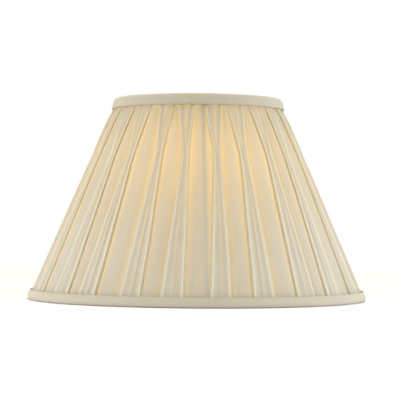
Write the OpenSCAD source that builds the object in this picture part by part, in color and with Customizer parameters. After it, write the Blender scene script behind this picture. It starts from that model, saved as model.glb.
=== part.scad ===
// Pleated table lamp shade on a strutted wire frame, with a lampholder ring
// on a gimbal that swings from the lamp position up to the pendant position.
// The origin is on the plane the shade stands on, on its axis, +Z up.
// Angles round the shade are counted from -Y, where the first strut stands.

/* [Overall size] */
// Outside diameter over the bottom trim
base_d = 355; // [290:5:430]
// Outside diameter of the cover's cone at the top ring
top_d = 180; // [150:5:230]
// Height over both trims
shade_h = 210; // [170:5:260]

/* [Wire frame] */
// Wire diameter of the two rings
ring_wire_d = 4; // [3:0.5:5]
// Wire diameter of the struts
strut_wire_d = 3; // [2:0.5:3.5]
// Number of struts
strut_count = 6; // [4:1:12]

/* [Cover and lining] */
// Depth of the pleats, from their backs to their crests
cover_t = 3; // [2:0.5:5]
// Cover thickness beside the top ring, under the trim
cover_roll_t = 2.5; // [1.5:0.1:3]
// Cover thickness at the lower edge of the top trim
cover_squeezed_t = 0.9; // [0.6:0.1:1.5]
// Thickness of the lining
lining_t = 0.8; // [0.5:0.1:1.2]
// Number of pleats round the cover
pleat_count = 24; // [16:1:32]
// Height of the pinched points of the pleats
pinch_z = 148; // [110:1:160]
// Angle from the first strut to the next pinch
pinch_angle = 6; // [0:0.5:14]
// Width of the hollow at each pinch
pinch_w = 7; // [5:0.5:9]
// Cover left behind the hollow at each pinch
pinch_back_t = 0.8; // [0.5:0.1:1.2]
// Thread diameter of the pinch stitches
thread_d = 0.8; // [0.4:0.1:1]
// Length of a pinch stitch
stitch_l = 4; // [2:0.5:4.5]

/* [Trims] */
// Thickness of the folded trim tape
trim_t = 1.5; // [1:0.1:2]
// Height of the bottom trim on the outside
bottom_trim_h = 11; // [9:0.5:15]
// Height of the top trim on the outside
top_trim_h = 12; // [10:0.5:15]
// Height of both trims on the inside
inside_trim_h = 9; // [8:0.5:10]
// Width of the rolled edge of a trim
trim_roll_w = 1.8; // [1:0.1:2]

/* [Gimbal] */
// Gap between an arm's eye and the top trim's inside edge as the gimbal swings up
swing_gap = 1; // [0.5:0.5:8]
// Depth of the lampholder ring below the pivots
ring_drop = 28; // [20:1:40]
// Wire diameter of the arms
arm_wire_d = 3.5; // [3:0.25:4]
// Width of a pivot lug
lug_w = 9; // [7.5:0.5:12]
// Thickness of a pivot lug
lug_t = 2; // [1.5:0.25:2.5]
// How deep a lug is set against the ring wire
lug_set = 0.6; // [0.3:0.1:1]
// Thickness of an arm's flattened end
eye_t = 1.8; // [1.5:0.1:2.2]
// Gap between a rivet's head and the arm's wire below it
wire_gap = 1.25; // [0.75:0.25:3]
// Shank diameter of the pivot rivets
rivet_d = 4; // [3:0.5:4.5]
// Head diameter of the pivot rivets
rivet_head_d = 7; // [6:0.5:7.5]
// Head height of the pivot rivets
rivet_head_h = 1.3; // [1:0.1:1.6]

/* [Lampholder ring] */
// Hole in the steel ring
ring_bore_d = 42; // [40:1:44]
// Outside diameter of the steel ring
ring_outer_d = 60; // [58:1:70]
// Sheet thickness of the steel ring
ring_sheet_t = 1.2; // [1:0.1:1.6]
// Height of the steel ring's turned-up rim
ring_rim_h = 5; // [4.5:0.5:8]
// Hole in the plastic reducer
reducer_bore_d = 29; // [27:0.5:30]
// Gap between the reducer's flange and the steel ring's rim
reducer_rim_gap = 1.8; // [1:0.2:3]
// Thickness of the reducer's flange
reducer_t = 2; // [1.5:0.25:3]
// Wall of the reducer's skirt
skirt_t = 1.8; // [1.2:0.1:2.2]
// How far the skirt reaches below the steel ring
skirt_below = 2; // [1:0.5:4]

/* [Fits] */
// Gap between pieces that lie against each other
fit = 0.1; // [0.05:0.05:0.2]
// Radial play of an arm's eye on its rivet
pivot_play = 0.08; // [0.04:0.01:0.1]
// Side play of an arm's eye between lug and rivet head
side_play = 0.15; // [0.1:0.05:0.3]
// Radial play of the reducer in the steel ring
reducer_play = 0.2; // [0.1:0.05:0.4]

/* [Hidden] */
$fn = 128;
STRUTS = [for (i = [1:strut_count]) str("strut_", i)];

// Heights of the two wire rings, each inside its trim
ring_base_z = trim_t + fit + ring_wire_d / 2;
ring_top_z = shade_h - ring_base_z;

// Lean of the shade's side
side_slope = (base_d - top_d) / 2 / (ring_top_z - ring_base_z);
side_lean = sqrt(1 + side_slope * side_slope);
lean_angle = atan(side_slope);

// Distances square to the side, counted outwards from the line through both ring wires
back_off = ring_wire_d / 2 + fit;
crest_off = back_off + cover_t;
band_off = crest_off + fit + trim_t / 2;
lining_off = back_off;
inside_band_off = lining_off + lining_t + fit + trim_t / 2;

ring_base_r = (base_d - trim_t) / 2 - band_off * side_lean;
ring_top_r = (top_d - trim_t) / 2 - band_off * side_lean;

// Radius at height z of the line that lies off outside the ring wires
function side_r(z, off) = ring_base_r - side_slope * (z - ring_base_z) + off * side_lean;

// Gimbal
eye_drop = rivet_head_d / 2 + wire_gap + arm_wire_d / 2;
pivot_z = shade_h - inside_trim_h - swing_gap - eye_drop - lug_w / 2;
ring_z = pivot_z - ring_drop;
lug_out_x = ring_top_r - ring_wire_d / 2 + lug_set;
lug_in_x = lug_out_x - lug_t;
eye_out_x = lug_in_x - side_play;
eye_in_x = eye_out_x - eye_t;
arm_wire_z = pivot_z - eye_drop;
lug_top_z = ring_top_z + 1;
reducer_z = ring_z + ring_sheet_t + fit;
reducer_r = ring_outer_d / 2 - ring_sheet_t - reducer_rim_gap;

// Hollows at the pinches
pinch_depth = cover_t - pinch_back_t;

// Ends of the cover, which stop short of the rings' middles so that the trims turn clear of them
trim_gap = fit + trim_t / 2; // from the cover to the middle of the tape
cover_foot_z = ring_base_z + trim_gap / 2;
cover_head_z = ring_top_z - trim_gap / 2;

// Where the cover is squeezed under the top trim, and the outermost points it reaches there
top_lip_z = shade_h - top_trim_h;
puff_h = 1.5; // height over which the cover swells out again below the trim
squeezed_end = [side_r(top_lip_z, back_off + cover_squeezed_t), top_lip_z];
rolled_end = [side_r(cover_head_z, back_off + cover_roll_t), cover_head_z];

// ---- small helpers ----

// Strip of trim tape with round turns along a list of [radius, height] points
module tape(path) {
    for (i = [0:len(path) - 2]) {
        run = path[i + 1] - path[i];
        translate(path[i])
            rotate(atan2(run[1], run[0]))
                translate([0, -trim_t / 2])
                    square([norm(run), trim_t]);
    }
    for (p = path)
        translate(p)
            circle(d = trim_t);
}

// Straight wire from point a to point b
module wire(a, b, d) {
    run = b - a;
    translate(a)
        rotate([0, acos(run[2] / norm(run)), atan2(run[1], run[0])])
            cylinder(h = norm(run), d = d);
}

// Puts something made at [0, 0, 0], with its outside towards -Y, on the side of the shade
module on_side(angle, z, off) {
    rotate([0, 0, angle])
        translate([0, -side_r(z, off), z])
            rotate([-lean_angle, 0, 0])
                children();
}

module wire_ring(r, z) {
    rotate_extrude()
        translate([r, z])
            circle(d = ring_wire_d);
}

module both_rings() {
    wire_ring(ring_base_r, ring_base_z);
    wire_ring(ring_top_r, ring_top_z);
}

// Space that the two lugs take up where they pass through the lining and the trim
module lug_slots() {
    for (side = [-1, 1])
        translate([side * (lug_in_x + lug_out_x) / 2, 0, (pivot_z + lug_top_z) / 2])
            cube([lug_t + 2 * fit, lug_w + 2 * fit, lug_top_z - pivot_z + 2 * fit], center = true);
}

module left() {
    mirror([1, 0, 0])
        children();
}

// ---- wire frame ----

module top_ring() {
    color("whitesmoke")
        wire_ring(ring_top_r, ring_top_z);
}

module bottom_ring() {
    color("whitesmoke")
        wire_ring(ring_base_r, ring_base_z);
}

// Upright wire, butted and welded between the two rings
module strut(i) {
    color("white")
        difference() {
            on_side((i - 1) * 360 / strut_count, ring_base_z, 0)
                cylinder(h = (ring_top_z - ring_base_z) * side_lean, d = strut_wire_d);
            both_rings();
        }
}

// ---- cover, stitches and lining ----

module cover_shell() {
    rotate_extrude()
        polygon([
            [side_r(cover_foot_z, back_off), cover_foot_z],
            [side_r(cover_foot_z, crest_off), cover_foot_z],
            [side_r(top_lip_z - puff_h, crest_off), top_lip_z - puff_h],
            squeezed_end,
            rolled_end,
            [side_r(cover_head_z, back_off), cover_head_z]
        ]);
}

module pleated_cover() {
    color("bisque")
        difference() {
            cover_shell();
            for (k = [0:pleat_count - 1])
                on_side(pinch_angle + k * 360 / pleat_count, pinch_z, crest_off)
                    cube([pinch_w, 2 * pinch_depth, pinch_w], center = true);
        }
}

// Thread tacks that hold the pleats together at the pinches
module pinch_stitches() {
    color("ivory")
        for (k = [0:pleat_count - 1])
            on_side(pinch_angle + k * 360 / pleat_count, pinch_z,
                    crest_off - pinch_depth + fit + thread_d / 2)
                rotate([0, 90, 0])
                    cylinder(h = stitch_l, d = thread_d, center = true);
}

module lining() {
    color("floralwhite")
        difference() {
            rotate_extrude()
                polygon([
                    [side_r(ring_base_z, -lining_off), ring_base_z],
                    [side_r(ring_base_z, -lining_off - lining_t), ring_base_z],
                    [side_r(ring_top_z, -lining_off - lining_t), ring_top_z],
                    [side_r(ring_top_z, -lining_off), ring_top_z]
                ]);
            lug_slots();
        }
}

// ---- trims ----

module top_trim() {
    face_z = shade_h - trim_t / 2;
    inside_z = shade_h - inside_trim_h + trim_t / 2;
    along = (rolled_end - squeezed_end) / norm(rolled_end - squeezed_end);
    outwards = [along[1], -along[0]];
    lip = squeezed_end + trim_gap * outwards + trim_t / 2 * along;
    turn = rolled_end + trim_gap * outwards + trim_gap / 2 * along;
    color("linen")
        difference() {
            rotate_extrude()
                tape([
                    lip,
                    turn,
                    [turn[0] - trim_roll_w, face_z],
                    [side_r(face_z, -inside_band_off), face_z],
                    [side_r(inside_z, -inside_band_off), inside_z]
                ]);
            lug_slots();
        }
}

module bottom_trim() {
    lip_z = bottom_trim_h - trim_t / 2;
    foot_z = trim_t / 2;
    inside_z = inside_trim_h - trim_t / 2;
    roll_r = side_r(ring_base_z, band_off);
    color("linen")
        rotate_extrude()
            tape([
                [side_r(lip_z, band_off), lip_z],
                [roll_r, ring_base_z],
                [roll_r - trim_roll_w, foot_z],
                [side_r(foot_z, -inside_band_off), foot_z],
                [side_r(inside_z, -inside_band_off), inside_z]
            ]);
}

// ---- gimbal ----

// Steel tab welded inside the top ring, with the rivet's hole
module pivot_lug() {
    color("gainsboro")
        difference() {
            union() {
                translate([lug_in_x, -lug_w / 2, pivot_z])
                    cube([lug_t, lug_w, lug_top_z - pivot_z]);
                translate([lug_in_x, 0, pivot_z])
                    rotate([0, 90, 0])
                        cylinder(h = lug_t, d = lug_w);
            }
            translate([lug_in_x - fit, 0, pivot_z])
                rotate([0, 90, 0])
                    cylinder(h = lug_t + 2 * fit, d = rivet_d);
            wire_ring(ring_top_r, ring_top_z);
        }
}

module rivet_head() {
    rotate_extrude()
        polygon([
            [0, 0],
            [rivet_head_d / 2, 0],
            [rivet_head_d / 2, rivet_head_h / 2],
            [rivet_head_d * 0.36, rivet_head_h],
            [0, rivet_head_h]
        ]);
}

module pivot_rivet() {
    head_in_x = eye_in_x - side_play;
    color("silver")
        union() {
            translate([head_in_x, 0, pivot_z])
                rotate([0, 90, 0])
                    cylinder(h = lug_out_x - head_in_x, d = rivet_d);
            translate([lug_out_x, 0, pivot_z])
                rotate([0, 90, 0])
                    rivet_head();
            translate([head_in_x, 0, pivot_z])
                rotate([0, -90, 0])
                    rivet_head();
        }
}

// Arm of the gimbal: flattened eye, then a wire that slopes down to the lampholder ring's rim
module gimbal_arm() {
    rim_end = [ring_outer_d / 2 - ring_sheet_t, 0, ring_z + ring_rim_h / 2];
    color("gainsboro")
        difference() {
            union() {
                translate([eye_in_x, 0, pivot_z])
                    rotate([0, 90, 0])
                        cylinder(h = eye_t, d = lug_w);
                translate([eye_in_x, -lug_w / 2, arm_wire_z])
                    cube([eye_t, lug_w, eye_drop]);
                translate([eye_in_x, 0, arm_wire_z])
                    rotate([0, 90, 0])
                        cylinder(h = eye_t, d = lug_w);
                wire([eye_in_x + eye_t / 2, 0, arm_wire_z], rim_end, arm_wire_d);
            }
            translate([eye_in_x - fit, 0, pivot_z])
                rotate([0, 90, 0])
                    cylinder(h = eye_t + 2 * fit, r = rivet_d / 2 + pivot_play);
            translate([0, 0, ring_z - ring_rim_h])
                cylinder(h = 3 * ring_rim_h, d = ring_outer_d);
        }
}

// Pressed steel ring with a turned-up rim that both arms are welded to
module lampholder_ring() {
    color("gainsboro")
        rotate_extrude()
            polygon([
                [ring_bore_d / 2, ring_z],
                [ring_outer_d / 2, ring_z],
                [ring_outer_d / 2, ring_z + ring_rim_h],
                [ring_outer_d / 2 - ring_sheet_t, ring_z + ring_rim_h],
                [ring_outer_d / 2 - ring_sheet_t, ring_z + ring_sheet_t],
                [ring_bore_d / 2, ring_z + ring_sheet_t]
            ]);
}

// Plastic reducer that drops into the steel ring for the smaller lampholder
module reducer_ring() {
    skirt_r = ring_bore_d / 2 - reducer_play;
    color("white")
        rotate_extrude()
            polygon([
                [reducer_bore_d / 2, reducer_z],
                [skirt_r - skirt_t, reducer_z],
                [skirt_r - skirt_t, ring_z - skirt_below],
                [skirt_r, ring_z - skirt_below],
                [skirt_r, reducer_z],
                [reducer_r, reducer_z],
                [reducer_r, reducer_z + reducer_t],
                [reducer_bore_d / 2, reducer_z + reducer_t]
            ]);
}

top_ring();
bottom_ring();
for (i = [1:strut_count])
    strut(i);
pleated_cover();
pinch_stitches();
lining();
top_trim();
bottom_trim();
left() pivot_lug();  // pivot_lug_left
pivot_lug();  // pivot_lug_right
left() pivot_rivet();  // pivot_rivet_left
pivot_rivet();  // pivot_rivet_right
left() gimbal_arm();  // gimbal_arm_left
gimbal_arm();  // gimbal_arm_right
lampholder_ring();
reducer_ring();
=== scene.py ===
import bpy
import math
import numpy as np
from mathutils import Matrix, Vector


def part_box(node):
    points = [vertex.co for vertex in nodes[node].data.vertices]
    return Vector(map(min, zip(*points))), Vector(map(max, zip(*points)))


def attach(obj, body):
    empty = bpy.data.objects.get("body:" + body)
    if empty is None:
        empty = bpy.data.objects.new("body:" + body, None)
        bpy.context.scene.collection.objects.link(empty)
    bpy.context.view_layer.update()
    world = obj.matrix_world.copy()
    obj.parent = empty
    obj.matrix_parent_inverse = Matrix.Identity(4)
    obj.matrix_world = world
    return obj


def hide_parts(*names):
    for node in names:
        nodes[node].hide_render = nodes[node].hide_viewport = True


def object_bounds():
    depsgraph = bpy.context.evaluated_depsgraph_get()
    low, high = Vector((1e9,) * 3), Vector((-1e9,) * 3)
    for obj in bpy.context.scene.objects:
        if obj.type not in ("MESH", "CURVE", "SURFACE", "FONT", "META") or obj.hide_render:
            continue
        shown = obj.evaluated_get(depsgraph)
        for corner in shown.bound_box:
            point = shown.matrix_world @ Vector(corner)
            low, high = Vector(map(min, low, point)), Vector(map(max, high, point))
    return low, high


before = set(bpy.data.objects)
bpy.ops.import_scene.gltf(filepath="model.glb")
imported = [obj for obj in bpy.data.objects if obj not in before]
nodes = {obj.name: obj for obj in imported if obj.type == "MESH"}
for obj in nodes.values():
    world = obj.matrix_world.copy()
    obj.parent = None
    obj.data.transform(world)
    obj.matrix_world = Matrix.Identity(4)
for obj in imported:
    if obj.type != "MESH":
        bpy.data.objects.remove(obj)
cadLow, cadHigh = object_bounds()
mm = 0.001

# the two wire rings set the line of the shade's side
footRingLow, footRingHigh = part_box("bottom_ring")
headRingLow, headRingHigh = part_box("top_ring")
wireR = (footRingHigh.z - footRingLow.z) / 2
footZ, headZ = (footRingLow.z + footRingHigh.z) / 2, (headRingLow.z + headRingHigh.z) / 2
footR, headR = footRingHigh.x - wireR, headRingHigh.x - wireR
shadeH = cadHigh.z - cadLow.z
slope = (footR - headR) / (headZ - footZ)
lean = math.sqrt(1 + slope * slope)

fit = 0.1 * mm                 # room between two pieces that lie together
coverBack = wireR + fit        # the cover's inner face, measured from the middle of the wires
coverT = 3.0 * mm              # depth of the whole pleated cover
trimT = footRingLow.z - fit    # thickness of a folded trim
phase = 6.28                   # a wave's random start is drawn from 0 up to this


def sideR(z, off):
    # radius at height z of the line that lies off outside the wire rings, square to the side:
    # the rings' straight line, footR - slope * (z - footZ), moved out by off * lean
    return footR - slope * (z - footZ) + off * lean


def smooth(low, high, x):
    # 0 below low, 1 above high, and t * t * (3 - 2 * t) between them
    t = np.clip((x - low) / (high - low), 0, 1)
    return t * t * (3 - 2 * t)


def turnFrom(angle, mark):
    # the turn from mark to angle the short way round: the difference brought between -pi and pi
    return (angle - mark + np.pi) % (2 * np.pi) - np.pi


def roundAxis(r, angle, z):
    # angle is counted from the first strut, which faces -Y: (r sin angle, -r cos angle, z)
    return np.stack([r * np.sin(angle), -r * np.cos(angle), np.broadcast_to(z, r.shape)], -1)


def gridPiece(name, points, uv, closedAlong=False):
    # points is rows x columns x 3. Face (i, j) joins the points (i, j), (i, j + 1), (i + 1, j + 1) and
    # (i + 1, j). Every row is closed, and closedAlong joins the last row to the first as well.
    rows, cols = points.shape[:2]
    i, j = np.meshgrid(np.arange(rows if closedAlong else rows - 1), np.arange(cols), indexing="ij")
    nextRow, nextCol = (i + 1) % rows, (j + 1) % cols
    corners = [i * cols + j, i * cols + nextCol, nextRow * cols + nextCol, nextRow * cols + j]
    faces = np.stack(corners, -1).reshape(-1, 4)
    mesh = bpy.data.meshes.new(name)
    mesh.vertices.add(rows * cols)
    mesh.vertices.foreach_set("co", points.astype(np.float32).ravel())
    mesh.loops.add(faces.size)
    mesh.loops.foreach_set("vertex_index", faces.astype(np.int32).ravel())
    mesh.polygons.add(len(faces))
    mesh.polygons.foreach_set("loop_start", np.arange(0, faces.size, 4, dtype=np.int32))
    mesh.update(calc_edges=True)
    # a joined edge carries the far side's coordinate on, so the map has no jump across it
    u = np.stack([uv[0][j], uv[0][j + 1], uv[0][j + 1], uv[0][j]], -1)
    v = np.stack([uv[1][i], uv[1][i], uv[1][i + 1], uv[1][i + 1]], -1)
    layer = mesh.uv_layers.new(name="cloth")
    layer.data.foreach_set("uv", np.stack([u, v], -1).astype(np.float32).ravel())
    mesh.polygons.foreach_set("use_smooth", np.ones(len(faces), bool))
    mesh.update()
    piece = bpy.data.objects.new(name, mesh)
    bpy.context.scene.collection.objects.link(piece)
    return piece


def addValue(piece, name, values):
    # one number for each vertex, for the material to read
    attribute = piece.data.attributes.new(name, "FLOAT", "POINT")
    attribute.data.foreach_set("value", values.astype(np.float32).ravel())


def curveThrough(points, perSpan):
    # Catmull-Rom curve through control points on axis -2, with perSpan samples to each span. From point h to
    # point n, with b before and a after them, it is half of
    # 2h + (n - b) t + (2b - 5h + 4n - a) t^2 + (3h - b - 3n + a) t^3. The last point is left out.
    before = np.concatenate([2 * points[..., :1, :] - points[..., 1:2, :], points[..., :-2, :]], -2)
    here, there = points[..., :-1, :], points[..., 1:, :]
    after = np.concatenate([points[..., 2:, :], 2 * points[..., -1:, :] - points[..., -2:-1, :]], -2)
    t = (np.arange(perSpan) / perSpan)[:, None]
    b, h, n, a = (x[..., :, None, :] for x in (before, here, there, after))
    square = (2 * b - 5 * h + 4 * n - a) * t ** 2
    cube = (3 * h - b - 3 * n + a) * t ** 3
    out = 0.5 * (2 * h + (n - b) * t + square + cube)
    return out.reshape(out.shape[:-3] + (-1, out.shape[-1]))


cover = {
    "pleats": 24,
    "pinchZ": 147.5 * mm,
    "pinchAngle": 6.0,         # degrees from the first strut to the next pinch
    "alternate": 0.6,          # degrees by which every second pinch stands off the even spacing
    "footTurn": -1.8,          # degrees that a pleat turns on its way down from the pinch
    "headTurn": 0.1,           # and on its way up
    "sway": 0.0007,            # radians by which a pleat's middle line wavers
    "halfHead": 9.0 * mm,      # half the width of a pleat under the top trim
    "halfPinch": 4.5 * mm,     # at the pinch
    "halfFoot": 12.8 * mm,     # at the bottom trim
    "tuckHead": 5.0 * mm,      # how far the cloth goes back under the pleat's folded edge
    "tuckPinch": 4.1 * mm,
    "tuckFoot": 5.2 * mm,
    "pinchR": 2.2 * mm,        # how softly the pleat turns at the pinch
    "pressed": 5 * mm,         # how far above and below the pinch its tack presses the pleat
    "crest": 2.1 * mm,         # height off the inner face of a fold's highest line
    "valley": 1.3 * mm,        # of the cloth beside the folds
    "middle": 1.5 * mm,        # and of the pleat's middle
    "slimHead": 0.42,          # share by which the folds are slimmer above the pinch
    "belly": 1.45 * mm,        # how far a flat panel swells outwards
    "strutBelly": 0.05 * mm,   # the same where the panel is drawn flat over a strut
    "strutDip": 0.55 * mm,     # how far it is drawn in beside the strut
    "strutW": 2.1 * mm,        # half the width of a strut's painted shadow line on the cloth
    # heights at which the rows' spacing changes, with the number of rows up to the next one
    "rows": [(footZ, 4), (11 * mm, 3), (16 * mm, 20), (132 * mm, 17), (164 * mm, 7), (194 * mm, 8),
             (199 * mm, 2), (headZ, 0)],
    # share of the cloth's full depth that there is room for: least at the top trim's edge
    "room": [(footZ, 0.95), (11 * mm, 0.95), (14 * mm, 1.0), (188 * mm, 1.0), (198.1 * mm, 0.38),
             (headZ, 0.9)],
    "perSpan": 2,              # points from one of a row's control points to the next
    "seed": 11,
}


def coverHeights():
    # even steps within each span of the cover's rows, closer together by the trims and at the pinch
    spans = zip(cover["rows"], cover["rows"][1:])
    heights = [np.linspace(low, high, count, endpoint=False) for (low, count), (high, _) in spans]
    return np.concatenate([*heights, [headZ]])


def makeCover(c):
    # Each row is a chain of box pleats: out along the panel, back under the folded edge, out again
    # between the layers, round the edge and over the pleat, then the same mirrored. The half width of
    # a pleat is a hyperbola in height whose arms are the straight folds and whose waist is the pinch.
    rng = np.random.default_rng(c["seed"])
    z = coverHeights()
    Z = z[:, None]
    n = c["pleats"]
    k = np.arange(n)
    above, below = headZ - c["pinchZ"], c["pinchZ"] - footZ
    up, down = np.clip((Z - c["pinchZ"]) / above, 0, 1), np.clip((c["pinchZ"] - Z) / below, 0, 1)

    def wave(size, low, high):
        # size * sin(2 pi z / length + start), with its own length, from low to high, for each pleat
        return size * np.sin(2 * np.pi * Z / rng.uniform(low, high, n) + rng.uniform(0, phase, n))

    def bend(x):
        # a hyperbola's arm, sqrt(x * x + r * r) - r: level at 0 and straight further out
        return np.sqrt(x * x + c["pinchR"] ** 2) - c["pinchR"]

    # the middle line of each pleat, as an angle, and half the distance to its neighbours
    turnFoot = c["footTurn"] + rng.uniform(-0.5, 0.5, n)
    turnHead = c["headTurn"] + rng.uniform(-0.5, 0.5, n)
    centre = (c["pinchAngle"] + k * 360 / n + c["alternate"] * (-1.0) ** k + rng.uniform(-0.15, 0.15, n)
              + turnFoot * down + turnHead * up)
    centre = np.radians(centre) + wave(c["sway"], 0.09, 0.16)
    R = sideR(Z, coverBack + coverT / 2)
    gap = (np.roll(centre, -1, 1) - centre) % (2 * np.pi)
    rightEdge = gap / 2 * R
    leftEdge = np.roll(gap, 1, 1) / 2 * R

    # what changes with height alone
    room = np.interp(Z, *zip(*c["room"]))
    dip = np.exp(-((Z - c["pinchZ"]) / c["pressed"]) ** 2)         # 1 where the tack presses the pleat
    ridge = smooth(0.12, 0.55, down) * rng.uniform(0.5, 1.1, n)    # a low rise along a pleat's lower middle
    sagHead = smooth(0.1, 0.7, up)                                 # 1 under the top trim

    def halfWidth():
        # pinch + (end - pinch) * bend(distance) / bend(whole distance), for the end above or below
        head = c["halfHead"] * rng.uniform(0.9, 1.12, n)
        foot = c["halfFoot"] * rng.uniform(0.88, 1.1, n)
        pinch = c["halfPinch"] * rng.uniform(0.92, 1.1, n)
        toHead = (head - pinch) * bend(Z - c["pinchZ"]) / bend(above)
        toFoot = (foot - pinch) * bend(c["pinchZ"] - Z) / bend(below)
        return pinch + np.where(Z > c["pinchZ"], toHead, toFoot) + wave(0.1 * mm, 0.05, 0.12)

    def tuckWidth(w):
        # straight from the pinch's width to each end's, and always less than the pleat's half width w
        toHead = (c["tuckHead"] * rng.uniform(0.85, 1.15, n) - c["tuckPinch"]) * up
        toFoot = (c["tuckFoot"] * rng.uniform(0.8, 1.15, n) - c["tuckPinch"]) * down
        return np.minimum(c["tuckPinch"] + toHead + toFoot, w - 0.35 * mm)

    def halfPleat(edge, w, t, belly, apex):
        # Points from the panel's middle, at x = -edge, over the folded edge, at -w, nearly to the pleat's
        # middle, at 0. Each has x, its height off the inner face and a tone for the painted light and shade:
        # 0, a painted highlight, on the folds that stand out, a half on flat cloth and 1, painted warm glow,
        # deep beside a fold.
        panel = edge - w
        slim = t * (1 - c["slimHead"] * sagHead)
        crest = c["crest"] - 0.3 * mm * dip + wave(0.1 * mm, 0.05, 0.1)
        valley = c["valley"] - 0.2 * mm * sagHead - 0.35 * mm * smooth(0.05, 0.5, down)
        rise = (0.2 * sagHead + 0.4 * ridge) * mm
        outline = [
            # along the panel
            (-edge, belly, 0.46),
            (-w - panel * (0.64 + apex), belly * 0.94, 0.5),
            (-w - panel * 0.31, belly * 0.66, 0.66),
            (-w - np.minimum(1.3 * mm, panel * 0.1), 0.48 * mm, 0.95),
            # back under the fold and out again between the layers
            (-w + 0.3 * t, 0.46 * mm, 1),
            (-w + 0.85 * t, 0.4 * mm, 1),
            (-w + t, 0.5 * mm, 1),
            (-w + 0.85 * t, 0.6 * mm, 1),
            (-w + 0.32 * t, 0.62 * mm, 1),
            (-w + 0.09 * t, 0.68 * mm, 1),
            # round the folded edge and over its crest
            (-w, 0.95 * mm, 1),
            (-w + 0.22 * slim, crest - 0.32 * mm, 0.62),
            (-w + 0.43 * slim, crest, 0),
            (-w + 0.8 * slim, crest - 0.55 * mm, 0.3),
            # down beside it and towards the pleat's middle
            ((-w + t) * 0.66 - 0.1 * mm, valley, 0.46),
            ((-w + t) * 0.32, valley + rise, 0.5)]
        return np.stack([np.stack([value + 0 * w for value in point], -1) for point in outline], -2)

    leftW, rightW = halfWidth(), halfWidth()
    leftTuck, rightTuck = tuckWidth(leftW), tuckWidth(rightW)
    # the panel to the left of each pleat is flat where it crosses a strut, and shallow where it is narrow
    struts = np.radians(np.arange(6) * 60)[:, None, None]
    panelMiddle = centre - np.roll(gap, 1, 1) / 2
    fromStrut = (np.abs(turnFrom(panelMiddle, struts)) * R).min(0)
    crossed = 1 - smooth(8 * mm, 15 * mm, fromStrut)
    size = c["belly"] * rng.uniform(0.75, 1.2, n)
    belly = (size + (c["strutBelly"] - size) * crossed) * smooth(0, 8 * mm, leftEdge - leftW) + 0.2 * mm
    left = halfPleat(leftEdge, leftW, leftTuck, belly, rng.uniform(-0.16, 0.16, n))
    right = halfPleat(rightEdge, rightW, rightTuck, np.roll(belly, -1, 1), rng.uniform(-0.16, 0.16, n))
    right = right[:, :, ::-1] * [-1, 1, 1]
    swell = (0.15 * (sagHead - dip) + 0.6 * ridge * smooth(0.1, 0.6, down)) * mm
    middle = [(leftW - rightW) * 0.04 * down, c["middle"] + swell + 0 * leftW, 0.36 + 0 * leftW]
    chain = np.concatenate([left, np.stack(middle, -1)[:, :, None, :], right], 2)

    line = curveThrough(chain, c["perSpan"])
    x, h = line[..., 0], np.clip(line[..., 1], 0.05 * mm, None) * room[:, :, None]
    angle = centre[:, :, None] + x / R[:, :, None]
    toStrut = (np.abs(turnFrom(angle, struts[..., None])) * R[:, :, None]).min(0)
    pulled = c["strutDip"] * np.exp(-(toStrut / (2.2 * mm)) ** 2) * (h < 0.9 * mm)
    off = coverBack + h - np.minimum(pulled, h + 0.4 * mm)
    heights = z[:, None, None]
    points = roundAxis(sideR(heights, off), angle, heights).reshape(len(z), -1, 3)
    steps = np.linalg.norm(np.roll(points, -1, 1) - points, axis=2)
    cut = np.concatenate([[0], np.cumsum(steps[2])])
    piece = gridPiece("cover_cloth", points, (cut, z * lean))
    # painted light and shade: the tone picks the cloth's painted highlight, shade or glow, and just below
    # the top trim it is pushed 0.35 towards the warm deep-fold tone
    byTrim = 0.35 * smooth(194.5 * mm, 197.5 * mm, heights)
    addValue(piece, "depth", np.clip(line[..., 2] + byTrim, 0, 1))
    # painted shadow: 1 where single-layer cloth lies right over a strut, for a greyer line that stands for
    # the strut's shadow
    addValue(piece, "wire", np.exp(-(toStrut / c["strutW"]) ** 6) * (line[..., 1] < 1.0 * mm))
    # the strip was cut as long as its folds measure laid out, on the lowest rows
    flatL, slant = float(steps[:8].sum(1).mean()), float((z[-1] - z[0]) * lean)
    return piece, flatL, slant, centre


print("pleated cover")
coverPiece, coverL, coverSlant, pleatCentre = makeCover(cover)
print("unfolded length %.3f m, slant %.3f m" % (coverL, coverSlant))


trim = {
    "headOutside": 12 * mm,    # how far the top trim comes down the outside
    "footOutside": 11 * mm,    # how far the bottom trim comes up the outside
    "inside": 9 * mm,          # how far either reaches on the inside
    "rollW": 1.8 * mm,         # width of the rolled edge
    "corner": 1.6 * mm,        # length over which a corner is eased
    "dent": 0.22,              # share of its thickness that a tape loses beside its turned-in edges
    "dentAt": 2.3 * mm,        # how far the dent lies from the edge
    "dentW": 0.7 * mm,
    "thin": 0.08,              # and the share that it loses further in
    "liningT": 0.8 * mm,
    "squeezed": 0.9 * mm,      # room left for the cover at the top trim's edge
    "rolled": 2.5 * mm,        # and beside the top ring
    "waves": ((0.07 * mm, 7), (0.05 * mm, 17), (0.04 * mm, 41)),    # unevenness, and how often it goes round
    "lapAt": -1.2 * mm,        # where the outer end is cut, measured from the first strut
    "lapSlant": 2.6 * mm,      # how far the cut runs sideways across the tape
    "lapLift": 0.7 * mm,
    "lapSpan": (-4 * mm, 6 * mm, 0.3 * mm),    # where the columns are closer together, and how close
    "step": 0.75 * mm,         # between the section's points
    "around": 480,             # columns round the axis
    "seed": 5,
}


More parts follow.
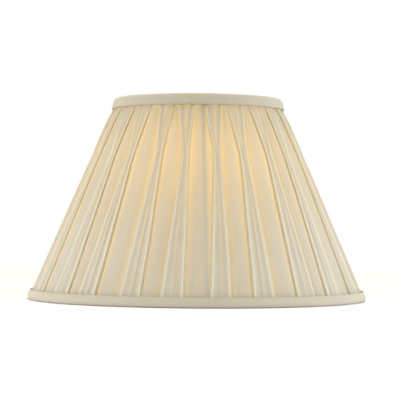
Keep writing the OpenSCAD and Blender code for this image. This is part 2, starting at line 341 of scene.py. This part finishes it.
def tapeLoop(path, t):
    # Closed outline of a folded tape's section. The middle line goes through the path's points, with its
    # corners eased by two running means. The sides are line + normal * thickness and
    # line - normal * thickness, and each end is a half circle.
    half, corner, capPoints = trimT / 2, t["corner"], 5
    path = np.array(path)
    lengths = np.concatenate([[0], np.cumsum(np.linalg.norm(np.diff(path, axis=0), axis=1))])
    width = lengths[-1]
    fine = 0.05 * mm
    s = np.arange(-corner, width + corner, fine)
    line = np.stack([np.interp(s, lengths, path[:, i]) for i in (0, 1)], -1)
    # past its two ends the line runs straight on, so the means don't draw them in
    for end, inner, past in ((0, 1, s < 0), (-1, -2, s > width)):
        run = (path[end] - path[inner]) / np.linalg.norm(path[end] - path[inner])
        beyond = np.where(end == 0, -s, s - width)[:, None]
        line = np.where(past[:, None], path[end] + run * beyond, line)
    window = int(corner / fine)
    for _ in range(2):
        line = np.stack([np.convolve(line[:, i], np.ones(window) / window, "same") for i in (0, 1)], -1)
    keep = s[(s >= half) & (s <= width - half)]
    count = int(width / t["step"])
    at = np.linspace(keep[0], keep[-1], count)
    line = np.stack([np.interp(at, s, line[:, i]) for i in (0, 1)], -1)
    run = np.gradient(line, axis=0)
    run /= np.linalg.norm(run, axis=1)[:, None]
    out = np.stack([run[:, 1], -run[:, 0]], -1)
    # a tape is thick at its turned-in edges, with a shallow dent beside them
    fromEdge = np.minimum(at, width - at)
    dent = t["dent"] * np.exp(-((fromEdge - t["dentAt"]) / t["dentW"]) ** 2)
    thick = half * (1 - dent - t["thin"] * smooth(2 * mm, 5 * mm, fromEdge))[:, None]
    turn = np.linspace(0, np.pi, capPoints + 2)[1:-1, None]

    def cap(i, way):
        # line + way * half * (cos(turn) * normal + sin(turn) * direction)
        return line[i] + way * half * (np.cos(turn) * out[i] + np.sin(turn) * run[i])

    # up the outside, round the far end, back along the inside, round the near end
    loop = np.concatenate([line + out * thick, cap(-1, 1), (line - out * thick)[::-1], cap(0, -1)])
    farEnd, nearEnd = np.repeat(run[-1:], capPoints, 0), np.repeat(-run[:1], capPoints, 0)
    normal = np.concatenate([out, farEnd, -out[::-1], nearEnd])
    place = np.concatenate([at, np.full(capPoints, at[-1]), at[::-1], np.full(capPoints, at[0])])
    outer = np.concatenate([np.ones(count), np.zeros(capPoints), -np.ones(count), np.zeros(capPoints)])
    return loop, normal, place, outer, width


def makeTrim(name, path, t):
    # The section is carried round the axis, with a gentle unevenness, and laps over itself at the first
    # strut: the outer face steps up at a slanting cut end and eases down again further on. Each point is
    # section + normal * (unevenness + step).
    loop, normal, place, outer, width = tapeLoop(path, t)
    reach = loop[:, 0].max()
    even = np.linspace(-np.pi, np.pi, t["around"], endpoint=False)
    lap = np.arange(*t["lapSpan"]) / reach
    angle = np.sort(np.concatenate([even[(even < lap[0]) | (even > lap[-1])], lap]))
    x = angle[None] * reach
    # faint sines round the tape, whose phase shifts across it
    rng = np.random.default_rng(t["seed"])
    shifts, starts = rng.uniform(-1, 1, 3), rng.uniform(0, phase, 3)
    uneven = sum(size * np.sin(times * angle[None] + place[:, None] / (9 * mm) * shift + start)
                 for (size, times), shift, start in zip(t["waves"], shifts, starts))
    pastCut = x - t["lapAt"] - t["lapSlant"] * (place / width)[:, None]
    step = smooth(0, 0.7 * mm, pastCut) * (1 - smooth(6 * mm, 16 * mm, pastCut)) * t["lapLift"]
    lift = (uneven + step * (outer > 0)[:, None]) * (outer >= 0)[:, None]
    r = loop[:, :1] + normal[:, :1] * lift
    z = loop[:, 1:] + np.where(loop[:, 1:] < 0.2 * mm, 0, normal[:, 1:] * lift)    # the foot stays level
    points = roundAxis(r, angle, z)
    alongU = np.concatenate([angle, [angle[0] + 2 * np.pi]]) * reach
    steps = np.linalg.norm(np.roll(loop, -1, 0) - loop, axis=1)
    alongV = np.concatenate([[0], np.cumsum(steps[::-1])])
    piece = gridPiece(name, points[::-1], (alongU, alongV), closedAlong=True)
    # painted shade along both edges of the tape: 1 at each edge and gone within about 2.5 mm
    edge = np.exp(-(np.minimum(place, width - place) / (1.2 * mm)) ** 2)
    addValue(piece, "edge", np.repeat(edge[::-1, None], len(angle), 1))
    return piece, 2 * np.pi * loop[:, 0].mean(), width


print("trims")
half, gapOut = trimT / 2, fit + trimT / 2
bandOff = coverBack + coverT + gapOut
insideOff = -(coverBack + trim["liningT"] + gapOut)
footLip, footInside = trim["footOutside"] - half, trim["inside"] - half
footPath = [
    (sideR(footLip, bandOff), footLip),
    (sideR(footZ, bandOff), footZ),
    (sideR(footZ, bandOff) - trim["rollW"], half),
    (sideR(half, insideOff), half),
    (sideR(footInside, insideOff), footInside)]
headLip, headInside = shadeH - trim["headOutside"] + half, shadeH - trim["inside"] + half
headFace = shadeH - half
headRoll = sideR(headZ, coverBack + trim["rolled"] + gapOut)
headPath = [
    (sideR(headLip, coverBack + trim["squeezed"] + gapOut), headLip),
    (headRoll, headZ),
    (headRoll - trim["rollW"], headFace),
    (sideR(headFace, insideOff), headFace),
    (sideR(headInside, insideOff), headInside)]
footTrim, footTapeL, footTapeW = makeTrim("trim_foot_cloth", footPath, trim)
headLook = {**trim, "seed": 6, "lapLift": 0.2 * mm}
headTrim, headTapeL, headTapeW = makeTrim("trim_head_cloth", headPath, headLook)


lining = {
    "low": 2.4 * mm,           # the lower edge's height
    "high": 5.5 * mm,          # how far below the top the upper edge lies
    "thick": 0.8 * mm,
    "scallop": 1.1 * mm,       # how far the lining stands in between two struts
    "seams": (math.radians(90), math.radians(270)),
    "seamHalf": 3.5 * mm,      # half the width of a seam
    "seamLift": 0.55 * mm,
    "seamStep": 0.5 * mm,      # between the columns across a seam, at the radius seamR
    "seamR": 0.12,
    "seamGap": 0.004,          # turn, in radians, from a seam's last column to the next even one
    "rows": 40, "around": 480,
}


def makeLining(c):
    # A cone just inside the wires, pulled flat between them: it stands furthest out beside each strut and
    # (1 - cos 6a) / 2 of the scallop further in between two. A seam is a narrow ridge from ring to ring.
    z = np.linspace(c["low"], shadeH - c["high"], c["rows"])
    base = np.linspace(0, 2 * np.pi, c["around"], endpoint=False)
    # the even columns make room for closer ones across each seam
    seamX = np.arange(-c["seamHalf"], c["seamHalf"] + c["seamStep"] / 5, c["seamStep"]) / c["seamR"]
    for at in c["seams"]:
        base = base[np.abs(turnFrom(base, at)) > seamX[-1] + c["seamGap"]]
        base = np.concatenate([base, at + seamX])
    angle = np.sort(base % (2 * np.pi))
    Z, A = z[:, None], angle[None]
    span = np.sin(np.pi * np.clip((Z - footZ) / (headZ - footZ), 0, 1))
    scallop = (0.5 - 0.5 * np.cos(6 * A)) * c["scallop"] * span
    # two faint sines that run aslant, for the pull of the cloth
    broad = 0.12 * mm * np.sin(23 * A + Z / (14 * mm))
    narrow = 0.08 * mm * np.sin(57 * A - Z / (9 * mm))
    pull = (broad + narrow) * span
    # a seam steps up at its turned edge, down a quarter too far at its middle, and eases back
    seam = 0
    for at in c["seams"]:
        x = turnFrom(A, at) * sideR(Z, -coverBack) / mm
        profile = smooth(-3, -2.4, x) - smooth(-0.3, 0.3, x) * 1.25 + smooth(0.5, 3, x) * 0.25
        seam = seam + c["seamLift"] * profile
    r = sideR(Z, -(coverBack + c["thick"] / 2) - scallop - pull - seam)
    points = roundAxis(r, A, Z)
    alongU = np.concatenate([angle, [angle[0] + 2 * np.pi]]) * sideR(shadeH / 2, -coverBack)
    piece = gridPiece("lining_cloth", points[:, ::-1], (alongU[::-1], z * lean))
    # painted shade: 1 against each strut and 0 halfway between two, for the lining's tone ramp
    addValue(piece, "depth", np.repeat((0.5 + 0.5 * np.cos(6 * angle[::-1]))[None], len(z), 0))
    footL, headL = 2 * np.pi * float(r[0].mean()), 2 * np.pi * float(r[-1].mean())
    return piece, footL, headL, float((z[-1] - z[0]) * lean)


print("lining")
liningPiece, liningFootL, liningHeadL, liningSlant = makeLining(lining)


tack = {
    "strands": 3, "pitch": 0.75 * mm, "reach": 2.1 * mm, "radius": 0.2 * mm,
    "off": 1.6 * mm,           # height of a strand's middle off the cover's inner face
    "drop": 0.9 * mm,          # how much lower its ends are
    "tilt": 0.5 * mm,
    "along": 11, "round": 7,   # rings of points along a strand, and points in a ring
    "seed": 3,
}


def makeTacks(t, centres):
    # Each tack is a few strands laid over the pinch. A strand's middle line is an arc across it, its height
    # off - drop * s^2 for s from -1 to 1. The tube, thin at its ends, is
    # middle + thickness * (cos(turn) * outward + sin(turn) * sideways).
    rng = np.random.default_rng(t["seed"])
    strands, along, ring = t["strands"], t["along"], t["round"]
    row = int(np.argmin(np.abs(coverHeights() - cover["pinchZ"])))
    s = np.linspace(-1, 1, along)[None, None]
    j = (np.arange(strands) - (strands - 1) / 2)[None, :, None]
    tilt = rng.uniform(-1, 1, (len(centres[row]), strands, 1)) * t["tilt"]
    z = cover["pinchZ"] + j * t["pitch"] + tilt * s
    r = sideR(z, coverBack + t["off"] - s ** 2 * t["drop"])
    angle = centres[row][:, None, None] + s * t["reach"] / r
    mid = roundAxis(r, angle, z)
    out = np.stack([np.sin(angle), -np.cos(angle), slope + 0 * r], -1) / lean
    run = np.gradient(mid, axis=2)
    run /= np.linalg.norm(run, axis=-1, keepdims=True)
    side = np.cross(run, out)
    thin = t["radius"] * np.sqrt(np.clip(1.02 - s ** 4, 0.02, 1))[..., None, None]
    turn = np.linspace(0, 2 * np.pi, ring, endpoint=False)[:, None]
    tube = mid[..., None, :] + thin * (np.cos(turn) * out[..., None, :] + np.sin(turn) * side[..., None, :])
    tubes = tube.reshape(-1, along, ring, 3)
    i = np.arange(along - 1)[:, None]
    q = np.arange(ring)[None]
    after = (q + 1) % ring
    quad = np.stack([i * ring + q, i * ring + after, (i + 1) * ring + after, (i + 1) * ring + q], -1)
    first = (np.arange(len(tubes)) * along * ring)[:, None]
    quads = (quad.reshape(1, -1, 4) + first[:, :, None]).reshape(-1, 4).tolist()
    ends = (np.arange(ring)[::-1] + first).tolist() + (np.arange(ring) + (along - 1) * ring + first).tolist()
    mesh = bpy.data.meshes.new("pinch_tacks")
    mesh.from_pydata(tubes.reshape(-1, 3).tolist(), [], quads + ends)
    mesh.polygons.foreach_set("use_smooth", np.ones(len(mesh.polygons), bool))
    mesh.update()
    piece = bpy.data.objects.new("pinch_tacks", mesh)
    bpy.context.scene.collection.objects.link(piece)
    return piece


print("tacks")
tackPiece = makeTacks(tack, pleatCentre)


class Signal:
    # a socket that takes part in ordinary sums; every operator adds one Math node
    def __init__(self, recipe, socket):
        self.recipe, self.socket = recipe, socket

    def __add__(self, other):
        return self.recipe.maths("ADD", self, other)

    def __sub__(self, other):
        return self.recipe.maths("SUBTRACT", self, other)

    def __rsub__(self, other):
        return self.recipe.maths("SUBTRACT", other, self)

    def __mul__(self, other):
        return self.recipe.maths("MULTIPLY", self, other)

    __radd__, __rmul__ = __add__, __mul__


class Recipe:
    # one material's node tree, written as expressions
    def __init__(self, name):
        self.material = bpy.data.materials.new(name)
        self.material.use_nodes = True
        self.nodes, self.links = self.material.node_tree.nodes, self.material.node_tree.links
        self.nodes.clear()

    def put(self, kind, settings=None, values=None, out=0):
        # a node of any type: its settings first, then the values or links of its sockets
        node = self.nodes.new("ShaderNode" + kind)
        for key, value in (settings or {}).items():
            if key == "stops":
                while len(node.color_ramp.elements) < len(value):
                    node.color_ramp.elements.new(0.5)
                for element, (at, colour) in zip(node.color_ramp.elements, value):
                    element.position, element.color = at, (*colour, 1)
            else:
                setattr(node, key, value)
        for key, value in (values or {}).items():
            if isinstance(value, Signal):
                self.links.new(value.socket, node.inputs[key])
            else:
                node.inputs[key].default_value = value
        return Signal(self, node.outputs[out] if len(node.outputs) else None)

    def maths(self, operation, a, b=0.0):
        return self.put("Math", {"operation": operation}, {0: a, 1: b})

    def mixColour(self, factor, a, b, blend="MIX"):
        return self.put("Mix", {"data_type": "RGBA", "blend_type": blend}, {0: factor, 6: a, 7: b}, 2)

    def scaled(self, vector, x, y, z):
        return self.put("VectorMath", {"operation": "MULTIPLY"}, {0: vector, 1: (x, y, z)})

    def noise(self, vector, scale, detail=2.0):
        values = {"Vector": vector, "Scale": scale, "Detail": detail, "Roughness": 0.5}
        return self.put("TexNoise", None, values)

    def bump(self, height, strength, distance, normal=None):
        values = {"Height": height, "Strength": strength, "Distance": distance}
        if normal is not None:
            values["Normal"] = normal
        return self.put("Bump", None, values)

    def finish(self, shader):
        self.put("OutputMaterial", None, {"Surface": shader})
        return self.material


def clothMaterial(name, c):
    # woven cloth on the piece's own map: a ramp of tones that paints light and shade over the folds, threads
    # and creases in the relief, and some light let through, share + deepShare * depth of it
    m = Recipe(name)
    uv = m.put("UVMap", {"uv_map": "cloth"})
    u = m.put("SeparateXYZ", None, {0: uv})
    v = Signal(m, u.socket.node.outputs[1])
    # plain weave: each thread is a rounded ridge that goes over and under the threads that cross it
    warp = m.maths("SINE", u * (math.pi / c["thread"]))
    weft = m.maths("SINE", v * (math.pi / c["thread"]))
    over = warp * weft * 0.5 + 0.5
    weave = m.maths("ABSOLUTE", warp) * over + m.maths("ABSOLUTE", weft) * (1 - over)
    slub = m.noise(m.scaled(uv, 1400, 60, 1), 1.0) + m.noise(m.scaled(uv, 50, 1200, 1), 1.0)
    crease = m.noise(m.scaled(uv, c["creaseU"], c["creaseV"], 1), 1.0, 3.0)
    mottle = m.noise(m.scaled(uv, 30, 22, 1), 1.0)
    # depth is 0 to 1 on the piece's painted light and shade: fold tone on the cover, strut tone on the
    # lining, edge tone on a tape
    depth = m.put("Attribute", {"attribute_name": c["attribute"]}, out="Fac")
    shade = slub * 0.05 + mottle * 0.06 + 0.92
    # painted highlight at 0, painted shade on the slopes at a quarter, flat cloth at a half, and at 1 the
    # deep tone: painted warm glow on the cover, painted shade on the lining and the tapes
    stops = [(0.0, c["colour"]), (0.25, c["slopeColour"]), (0.5, c["flatColour"]), (1.0, c["deepColour"])]
    base = m.put("ValToRGB", {"stops": stops}, {0: depth})
    if "wireColour" in c:
        # painted shadow: where a strut lies right behind the cloth, a greyer line stands for its shadow
        wire = m.put("Attribute", {"attribute_name": "wire"}, out="Fac")
        base = m.mixColour(wire * 0.75, base, (*c["wireColour"], 1))
        # and painted glow: the cloth gets a little yellower from one height to another, as if lit warmly
        # from inside
        height = m.put("SeparateXYZ", None, {0: m.put("TexCoord", out="Object")}, 2)
        span = {0: height, 1: c["paintedGlowFrom"], 2: c["paintedGlowTo"]}
        warm = m.put("MapRange", {"interpolation_type": "SMOOTHSTEP"}, span)
        base = m.mixColour(warm, base, (*c["paintedGlowTint"], 1), "MULTIPLY")
    base = m.mixColour(1.0, base, m.put("CombineColor", None, {0: shade, 1: shade, 2: shade}), "MULTIPLY")
    normal = m.bump(crease, c["creaseBump"], 0.0012)
    normal = m.bump(weave + slub * 0.4, 0.3, 0.00006, normal)
    front = m.put("BsdfPrincipled", None, {
        "Base Color": base, "Roughness": 0.62 + 0.12 * mottle, "Normal": normal,
        "Sheen Weight": c["sheen"], "Sheen Roughness": 0.45, "Specular IOR Level": 0.3})
    behind = m.put("BsdfTranslucent", None, {"Color": (*c["through"], 1), "Normal": normal})
    share = depth * c["deepShare"] + c["share"] if c["deepShare"] else c["share"]
    return m.finish(m.put("MixShader", None, {0: share, 1: front, 2: behind}))


silk = {
    "colour": (0.93, 0.90, 0.785),          # painted highlight, on the folds that stand out
    "slopeColour": (0.765, 0.735, 0.62),    # painted shade, beside them
    "flatColour": (0.705, 0.66, 0.56),
    "deepColour": (0.93, 0.825, 0.56),      # painted warm glow, deep in the folds
    # painted shadow of a strut right behind the cloth
    "wireColour": (0.66, 0.69, 0.64),
    "paintedGlowTint": (1.0, 0.96, 0.87),            # painted glow: what the upper part's colour is multiplied by
    "paintedGlowFrom": 30 * mm, "paintedGlowTo": 160 * mm,
    "through": (0.95, 0.84, 0.58),          # colour of the light that comes through
    "share": 0.12, "deepShare": 0.22,
    "thread": 0.28 * mm,
    "sheen": 0.2,
    "creaseU": 80, "creaseV": 7, "creaseBump": 0.5,
    "attribute": "depth",
}
cottonLining = {
    # tones from between the struts to against them: painted shade, a little darker against each strut
    "colour": (0.84, 0.80, 0.70), "slopeColour": (0.83, 0.79, 0.69), "flatColour": (0.82, 0.78, 0.68),
    "deepColour": (0.79, 0.75, 0.65),
    "through": (0.92, 0.86, 0.74),
    "share": 0.42, "deepShare": 0.0,
    "thread": 0.28 * mm,
    "sheen": 0.08,
    "creaseU": 26, "creaseV": 12, "creaseBump": 0.5,
    "attribute": "depth",
}
tape = {
    # tones from the middle of the tape to its edges: painted shade, darker along both edges
    "colour": (0.665, 0.60, 0.475), "slopeColour": (0.645, 0.58, 0.46), "flatColour": (0.625, 0.56, 0.44),
    "deepColour": (0.575, 0.51, 0.39),
    "through": (0.95, 0.84, 0.58),
    "share": 0.05, "deepShare": 0.0,
    "thread": 0.34 * mm,
    "sheen": 0.2,
    "creaseU": 60, "creaseV": 40, "creaseBump": 0.25,
    "attribute": "edge",
}


def threadMaterial():
    # twisted thread: diagonal bands on Object coordinates give its two tones and its relief
    m = Recipe("tackThread")
    place = m.put("TexCoord", out="Object")
    bands = {"Vector": place, "Scale": 900.0, "Distortion": 1.5}
    twist = m.put("TexWave", {"bands_direction": "DIAGONAL"}, bands)
    tone = m.mixColour(twist * 0.5, (0.86, 0.82, 0.70, 1), (0.74, 0.68, 0.54, 1))
    return m.finish(m.put("BsdfPrincipled", None, {
        "Base Color": tone, "Roughness": 0.55 + 0.15 * twist, "Sheen Weight": 0.2,
        "Normal": m.bump(twist, 0.5, 0.0001)}))


def enamelMaterial(name, colour, worn, rough):
    # baked paint: a faint orange peel, with a slightly greyer coat where it has run thin
    m = Recipe(name)
    place = m.put("TexCoord", out="Object")
    stops = [(0.55, (0, 0, 0)), (0.8, (1, 1, 1))]
    thin = m.put("ValToRGB", {"stops": stops}, {0: m.noise(place, 260.0, 4.0)})
    tone = m.mixColour(thin, (*colour, 1), (*worn, 1))
    return m.finish(m.put("BsdfPrincipled", None, {
        "Base Color": tone, "Roughness": rough + 0.16 * m.noise(place, 420.0),
        "Coat Weight": 0.25 + 0.2 * thin, "Normal": m.bump(m.noise(place, 900.0, 3.0), 0.25, 0.00012)}))


def steelMaterial():
    # drawn steel: fine streaks along the rivet's own axis, X, in its polish and its relief
    m = Recipe("rivetSteel")
    place = m.put("TexCoord", out="Object")
    drawn = m.noise(m.scaled(place, 300, 2600, 2600), 1.0, 3.0)
    tone = m.mixColour(m.noise(place, 500.0), (0.72, 0.72, 0.71, 1), (0.55, 0.55, 0.55, 1))
    return m.finish(m.put("BsdfPrincipled", None, {
        "Base Color": tone, "Metallic": 1.0, "Roughness": 0.26 + 0.25 * drawn,
        "Normal": m.bump(drawn, 0.3, 0.00005)}))


def plasticMaterial():
    # moulded plastic: finely eroded surface and a faint swirl from the mould's gate
    m = Recipe("reducerPlastic")
    place = m.put("TexCoord", out="Object")
    grain = m.noise(place, 2600.0, 3.0)
    swirl = m.noise(place, 45.0, 2.0)
    tone = m.mixColour(swirl, (0.86, 0.86, 0.83, 1), (0.79, 0.79, 0.75, 1))
    return m.finish(m.put("BsdfPrincipled", None, {
        "Base Color": tone, "Roughness": 0.38 + 0.2 * grain, "Subsurface Weight": 0.1,
        "Subsurface Scale": 0.004, "Normal": m.bump(grain, 0.3, 0.00008)}))


def wear(piece, material):
    # the piece has this material and no other
    piece.data.materials.clear()
    piece.data.materials.append(material)


print("materials")
silkCloth = clothMaterial("coverSilk", silk)
liningCloth = clothMaterial("liningCotton", cottonLining)
trimCloth = clothMaterial("trimTape", tape)
frameEnamel = enamelMaterial("frameEnamel", (0.86, 0.85, 0.82), (0.70, 0.69, 0.66), 0.3)
gimbalEnamel = enamelMaterial("gimbalEnamel", (0.82, 0.81, 0.79), (0.60, 0.59, 0.58), 0.26)
steel, plastic, thread = steelMaterial(), plasticMaterial(), threadMaterial()
for name, node in nodes.items():
    if name.startswith("strut") or name in ("top_ring", "bottom_ring"):
        wear(node, frameEnamel)
    elif name.startswith(("pivot_lug", "gimbal_arm")) or name == "lampholder_ring":
        wear(node, gimbalEnamel)
    elif name.startswith("pivot_rivet"):
        wear(node, steel)
    elif name == "reducer_ring":
        wear(node, plastic)
for piece, material, cad, slot in (
        (coverPiece, silkCloth, "pleated_cover", "cover_fabric"),
        (liningPiece, liningCloth, "lining", "lining_fabric"),
        (headTrim, trimCloth, "top_trim", "trim_tape"),
        (footTrim, trimCloth, "bottom_trim", "trim_tape"),
        (tackPiece, thread, "pinch_stitches", "thread")):
    wear(piece, material)
    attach(piece, "shade")
    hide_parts(cad)


studio = {
    "floor": 0.9,                        # half the floor's side, in metres
    "floorTones": ((0.93, 0.94, 0.99), (0.91, 0.92, 0.97)),
    "sky": 0.30,                         # strength of the even light from all round
    "skyColour": (1.0, 0.88, 0.42),
    "sides": {-1: 25.6, 1: 29.2},        # watts of the left and the right softbox
    "sideColour": {-1: (0.75, 0.81, 0.98), 1: (0.71, 0.80, 1.0)},
    "sidePlace": (1.75, -0.5, 0.6),      # of the right one
    "sideSize": (2.4, 1.4),
    "top": 2.2,                          # the big soft light overhead, which hardly touches the front
    "topColour": (1.0, 0.98, 0.92),
    "topFrom": (0, 0.36, 1.0),
    "topSpread": 50,                     # degrees
    "glow": 0.091,                       # two low lights inside, which show through the cloth
    "glowColour": (1.0, 0.715, 0.42),
    "glowOut": 0.012, "glowZ": 0.135,    # where they stand, one on each side of the axis
    "glowAimZ": 0.165,                   # the height they aim at, a metre away
    "glowSize": 0.05,
    "glowSpread": 120,
    "highGlow": 0.195,                   # and one that shines all round near the top
    "highColour": (1.0, 0.71, 0.4),
    "highZ": 0.145,
    "highR": 0.02,
}


def plainFloor(s):
    # one square of two pale tones that pass into each other
    half = s["floor"]
    corners = [(-half, -half, 0), (half, -half, 0), (half, half, 0), (-half, half, 0)]
    mesh = bpy.data.meshes.new("floor")
    mesh.from_pydata(corners, [], [(0, 1, 2, 3)])
    floor = bpy.data.objects.new("floor", mesh)
    bpy.context.scene.collection.objects.link(floor)
    m = Recipe("paleFloor")
    near, far = s["floorTones"]
    tone = m.mixColour(m.noise(m.put("TexCoord", out="Object"), 3.0), (*near, 1), (*far, 1))
    paint = {"Base Color": tone, "Roughness": 0.85, "Specular IOR Level": 0.2}
    wear(floor, m.finish(m.put("BsdfPrincipled", None, paint)))


def addLight(name, kind, place, aim, power, colour, **size):
    # a light at place whose own -Z axis points at aim
    data = bpy.data.lights.new(name, kind)
    data.energy, data.color = power, colour
    for key, value in size.items():
        setattr(data, key, value)
    lamp = bpy.data.objects.new(name, data)
    lamp.location = place
    lamp.rotation_euler = (Vector(aim) - Vector(place)).to_track_quat("-Z", "Y").to_euler()
    bpy.context.scene.collection.objects.link(lamp)


print("floor, lights and camera")
plainFloor(studio)
shadeMiddle = (0, 0, shadeH / 2)
sideX, sideY, sideZ = studio["sidePlace"]
wide, tall = studio["sideSize"]
for side in (-1, 1):
    addLight("side%d" % side, "AREA", (sideX * side, sideY, sideZ), shadeMiddle, studio["sides"][side],
             studio["sideColour"][side], shape="RECTANGLE", size=wide, size_y=tall)
addLight("overhead", "SUN", studio["topFrom"], (0, 0, 0), studio["top"], studio["topColour"],
         angle=math.radians(studio["topSpread"]))
for way in (-1, 1):
    addLight("inside%d" % way, "AREA", (0, studio["glowOut"] * way, studio["glowZ"]),
             (0, way, studio["glowAimZ"]), studio["glow"], studio["glowColour"], shape="SQUARE",
             size=studio["glowSize"], spread=math.radians(studio["glowSpread"]))
addLight("insideHigh", "POINT", (0, 0, studio["highZ"]), shadeMiddle, studio["highGlow"],
         studio["highColour"], shadow_soft_size=studio["highR"])

# the camera sees a white surround, while the pieces are lit by the sky's own colour
world = bpy.data.worlds.new("studio")
bpy.context.scene.world = world
world.use_nodes = True
sky = world.node_tree
sky.nodes.clear()
out = sky.nodes.new("ShaderNodeOutputWorld")
seen, lit, mix = (sky.nodes.new("ShaderNode" + kind) for kind in ("Background", "Background", "MixShader"))
seen.inputs[0].default_value, seen.inputs[1].default_value = (1, 1, 1, 1), 1.0
lit.inputs[0].default_value, lit.inputs[1].default_value = (*studio["skyColour"], 1), studio["sky"]
path = sky.nodes.new("ShaderNodeLightPath")
sky.links.new(path.outputs["Is Camera Ray"], mix.inputs[0])
sky.links.new(lit.outputs[0], mix.inputs[1])
sky.links.new(seen.outputs[0], mix.inputs[2])
sky.links.new(mix.outputs[0], out.inputs[0])

# the camera stands a little left of the first strut, low down, and looks nearly level at the shade
eye = {
    "turn": -3.3,              # degrees round from the first strut
    "distance": 1.6197,        # metres from the axis
    "height": 81.9 * mm,
    "aimRight": 2.8 * mm,      # how far right of the axis it aims
    "aimZ": 104.3 * mm,
    "roll": 0.45,              # degrees
    "lens": 138.4, "film": 36,
}
turn = math.radians(eye["turn"])
data = bpy.data.cameras.new("camera")
data.lens, data.sensor_width = eye["lens"], eye["film"]
camera = bpy.data.objects.new("camera", data)
bpy.context.scene.collection.objects.link(camera)
bpy.context.scene.camera = camera
camera.location = (math.sin(turn) * eye["distance"], -math.cos(turn) * eye["distance"], eye["height"])
aim = Vector((math.cos(turn) * eye["aimRight"], math.sin(turn) * eye["aimRight"], eye["aimZ"]))
camera.rotation_euler = (aim - camera.location).to_track_quat("-Z", "Y").to_matrix().to_euler()
camera.rotation_euler.rotate_axis("Z", math.radians(eye["roll"]))
bpy.context.scene.view_settings.view_transform = "Standard"
